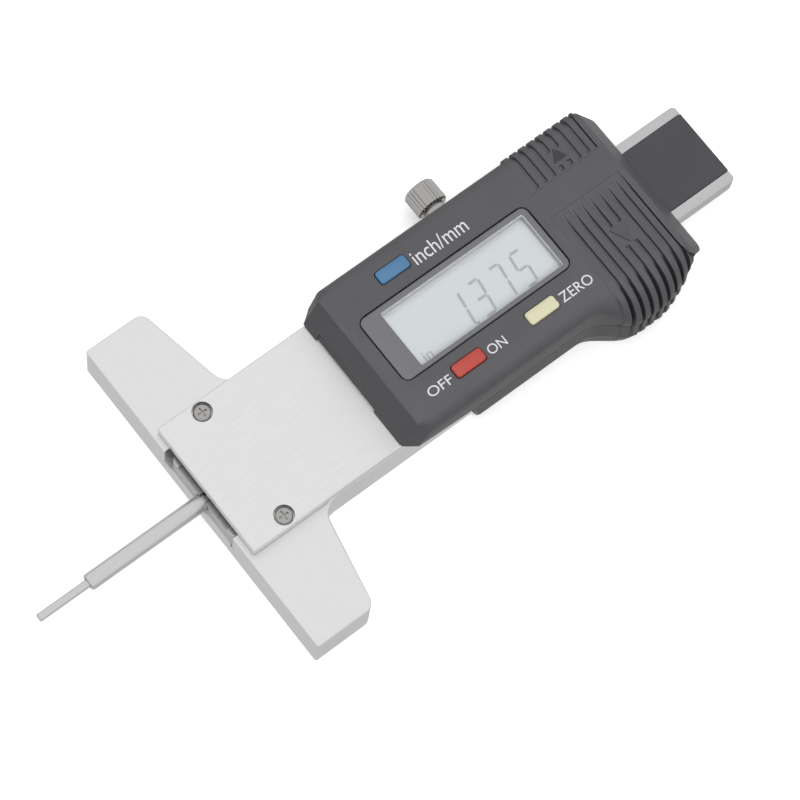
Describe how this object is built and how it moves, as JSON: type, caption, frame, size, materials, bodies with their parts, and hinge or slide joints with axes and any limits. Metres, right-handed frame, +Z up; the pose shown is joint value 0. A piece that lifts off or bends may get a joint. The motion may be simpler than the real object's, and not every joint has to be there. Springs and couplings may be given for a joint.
{
  "type": "digital depth gauge",
  "caption": "T-shaped measuring base and slider frame with a display housing, a sliding beam with a stepped measuring pin, push buttons, sliding covers and a knurled lock screw.",
  "frame": {"origin": "centre of the bounding box in plan, on the flat underside of the base", "axes": "+X from the measuring pin towards the beam's tail, +Y towards the lock screw, +Z up through the display"},
  "size_m": [0.1332, 0.06, 0.0176],
  "materials": {
    "ground_steel": "fine ground, satin",
    "brushed_steel": "brushed along the plate",
    "beam_steel": "ground along the beam",
    "scale_film": "matt dark film",
    "brass": "machined",
    "nickel": "nickel plated",
    "housing_plastic": "fine matt grain",
    "bezel_plastic": "smooth",
    "clear_plastic": "clear, polished",
    "lcd_glass": "smooth pale grey-green",
    "rubber": "matt",
    "keypad_rubber": "matt",
    "board_green": "solder mask",
    "blue_plastic": "satin",
    "red_plastic": "satin",
    "yellow_plastic": "satin",
    "cell_steel": "plated"
  },
  "bodies": {
    "frame": {"measuring_base": "ground_steel", "cover_plate": "brushed_steel", "cover_plate_screw_1": "nickel", "cover_plate_screw_2": "nickel", "gib_strip": "brass", "gib_screw_1": "nickel", "gib_screw_2": "nickel", "top_housing": "housing_plastic", "lower_housing": "housing_plastic", "housing_screw_1": "nickel", "housing_screw_2": "nickel", "housing_screw_3": "nickel", "housing_screw_4": "nickel", "display_bezel": "bezel_plastic", "window_lens": "clear_plastic", "lcd_glass": "lcd_glass", "conductor_strip_left": "rubber", "conductor_strip_right": "rubber", "circuit_board": "board_green", "pickup_board": "board_green", "rubber_keypad": "keypad_rubber", "button_cell": "cell_steel", "negative_contact": "nickel", "positive_contact": "nickel", "data_port": "rubber"},
    "beam": {"measuring_beam": "beam_steel", "scale_strip": "scale_film", "probe_rod": "ground_steel", "probe_pin": "ground_steel"},
    "lock_pad_body": {"lock_pad": "brass"},
    "lock_knob": {"lock_screw": "nickel"},
    "inch_mm_key": {"inch_mm_button": "blue_plastic"},
    "power_key": {"power_button": "red_plastic"},
    "zero_key": {"zero_button": "yellow_plastic"},
    "battery_lid": {"battery_cover": "housing_plastic"},
    "port_lid": {"port_cover": "housing_plastic"}
  },
  "joints": [
    {"name": "beam_slide", "type": "slide", "parent": "frame", "child": "beam", "axis": [1, 0, 0], "range_m": [-0.01, 0.031]},
    {"name": "lock_feed", "type": "slide", "parent": "frame", "child": "lock_pad_body", "axis": [0, -1, 0], "range_m": [0, 0.0005]},
    {"name": "lock_turn", "type": "hinge", "parent": "lock_pad_body", "child": "lock_knob", "pos_m": [0.0244, 0, 0.0054], "axis": [0, -1, 0], "range_deg": [0, 360]},
    {"name": "inch_mm_press", "type": "slide", "parent": "frame", "child": "inch_mm_key", "axis": [0, 0, -1], "range_m": [0, 0.0005], "stiffness_N_per_m": 400},
    {"name": "power_press", "type": "slide", "parent": "frame", "child": "power_key", "axis": [0, 0, -1], "range_m": [0, 0.0005], "stiffness_N_per_m": 400},
    {"name": "zero_press", "type": "slide", "parent": "frame", "child": "zero_key", "axis": [0, 0, -1], "range_m": [0, 0.0005], "stiffness_N_per_m": 400},
    {"name": "battery_cover_slide", "type": "slide", "parent": "frame", "child": "battery_lid", "axis": [0, -1, 0], "range_m": [0, 0.008]},
    {"name": "port_cover_slide", "type": "slide", "parent": "frame", "child": "port_lid", "axis": [0, 1, 0], "range_m": [0, 0.006]}
  ],
  "couplings": [
    {"joint": "lock_turn", "follows": "lock_feed", "rad_per_m": 12566}
  ]
}
